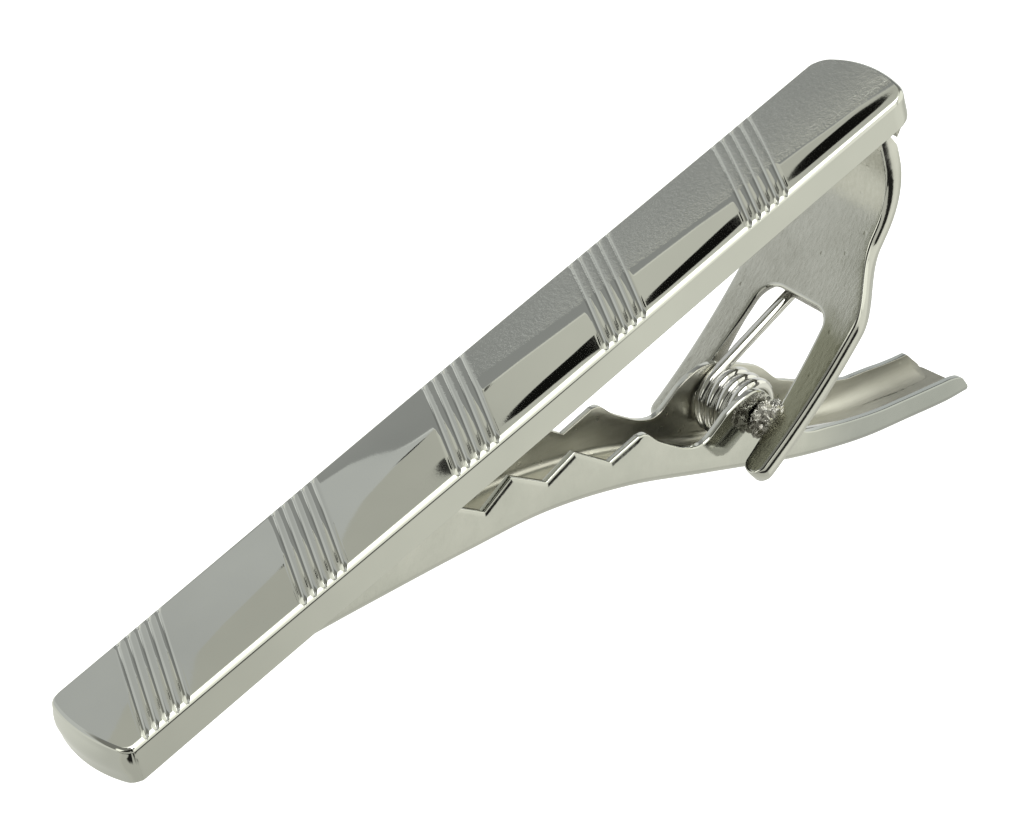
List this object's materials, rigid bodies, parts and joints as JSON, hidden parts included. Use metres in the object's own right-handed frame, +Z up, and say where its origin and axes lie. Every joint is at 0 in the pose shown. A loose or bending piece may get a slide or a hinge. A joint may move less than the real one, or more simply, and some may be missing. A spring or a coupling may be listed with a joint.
{
  "type": "tie clip",
  "caption": "Slim bar tie clip with diagonal groove groups and a sprung, toothed alligator jaw hinged in a bracket soldered beneath it.",
  "frame": {"origin": "middle of the clip's bounding box at its base: the level on which the clip stands, upside right, on the bar's free tip and on the jaw's tail", "axes": "+Z is straight up from the surface on which the clip stands, +X runs from the bar's free tip toward its hinge end and the tail, and +Y points across the bar, away from the side that the picture shows as near"},
  "size_m": [0.0658, 0.0092, 0.024],
  "materials": {
    "plated_bar": "polished silver-coloured plate, finely scratched",
    "plated_sheet": "silver-coloured plate over stamped sheet, slightly uneven",
    "solder": "dull grey filler metal under the plate",
    "pin_steel": "plain steel wire",
    "spring_wire": "bright drawn spring wire"
  },
  "bodies": {
    "clip_frame": {"front_bar": "plated_bar", "solder_seam": "solder", "bracket": "plated_sheet", "hinge_pin": "pin_steel", "torsion_spring": "spring_wire"},
    "jaw_arm": {"jaw": "plated_sheet"}
  },
  "joints": [
    {"name": "jaw_hinge", "type": "hinge", "parent": "clip_frame", "child": "jaw_arm", "pos_m": [0.01512, 0, 0.00481], "axis": [0, -1, 0], "range_deg": [0, 30], "stiffness_Nm_per_rad": 0.01, "springref_deg": -57.3, "deforming": ["torsion_spring"]}
  ]
}
